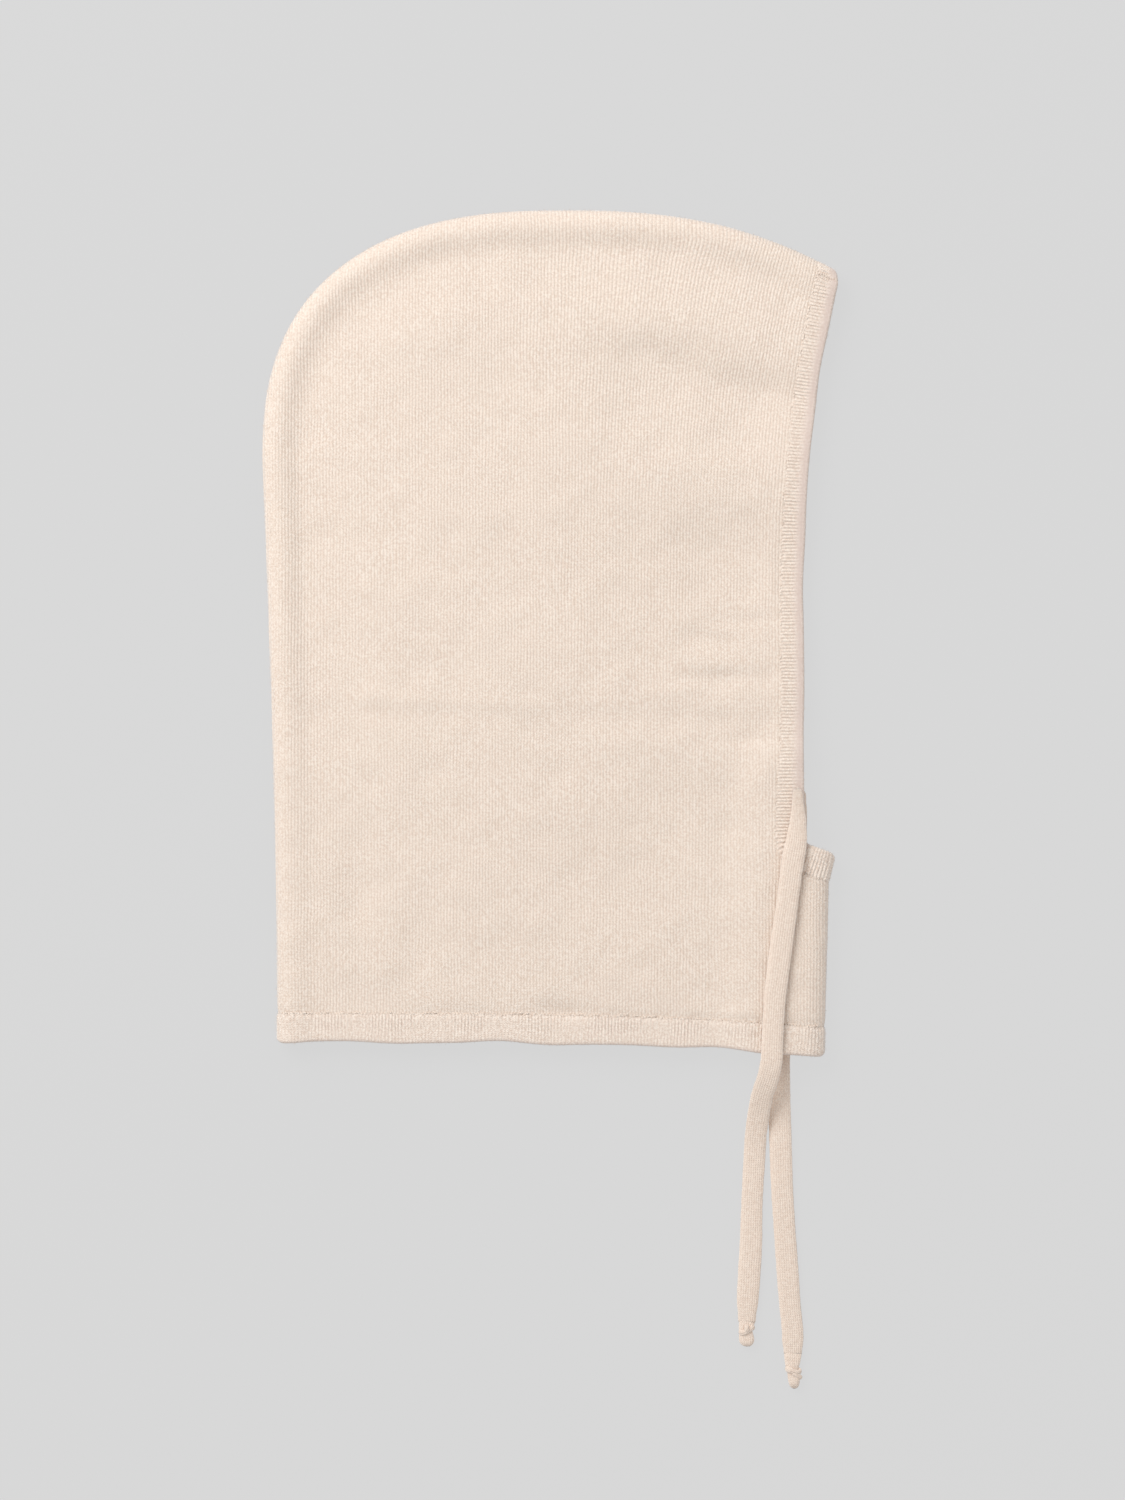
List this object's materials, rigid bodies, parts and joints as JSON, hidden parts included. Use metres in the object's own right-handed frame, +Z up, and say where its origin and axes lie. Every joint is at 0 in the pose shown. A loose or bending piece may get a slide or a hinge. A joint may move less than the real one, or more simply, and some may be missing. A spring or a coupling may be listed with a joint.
{
  "type": "knit balaclava hood",
  "caption": "Fine-knit balaclava hood laid flat on its side, with a neck tube, a rib face band, a rib hem and two flat ties.",
  "frame": {"origin": "on the surface that the hood lies on, under the middle of the hood's own box without its ties", "axes": "+X towards the face opening, +Y towards the crown, +Z up, away from the surface"},
  "size_m": [0.2716, 0.5579, 0.0184],
  "materials": {
    "jersey": "cream fine jersey knit with a soft fuzz",
    "rib": "cream fine rib knit",
    "tie_knit": "cream flat tubular knit"
  },
  "bodies": {
    "root": {"hood_body": "jersey", "face_band": "rib", "neck_hem": "rib", "near_tie": "tie_knit", "near_tie_knot": "tie_knit", "far_tie": "tie_knit", "far_tie_knot": "tie_knit"}
  },
  "joints": []
}
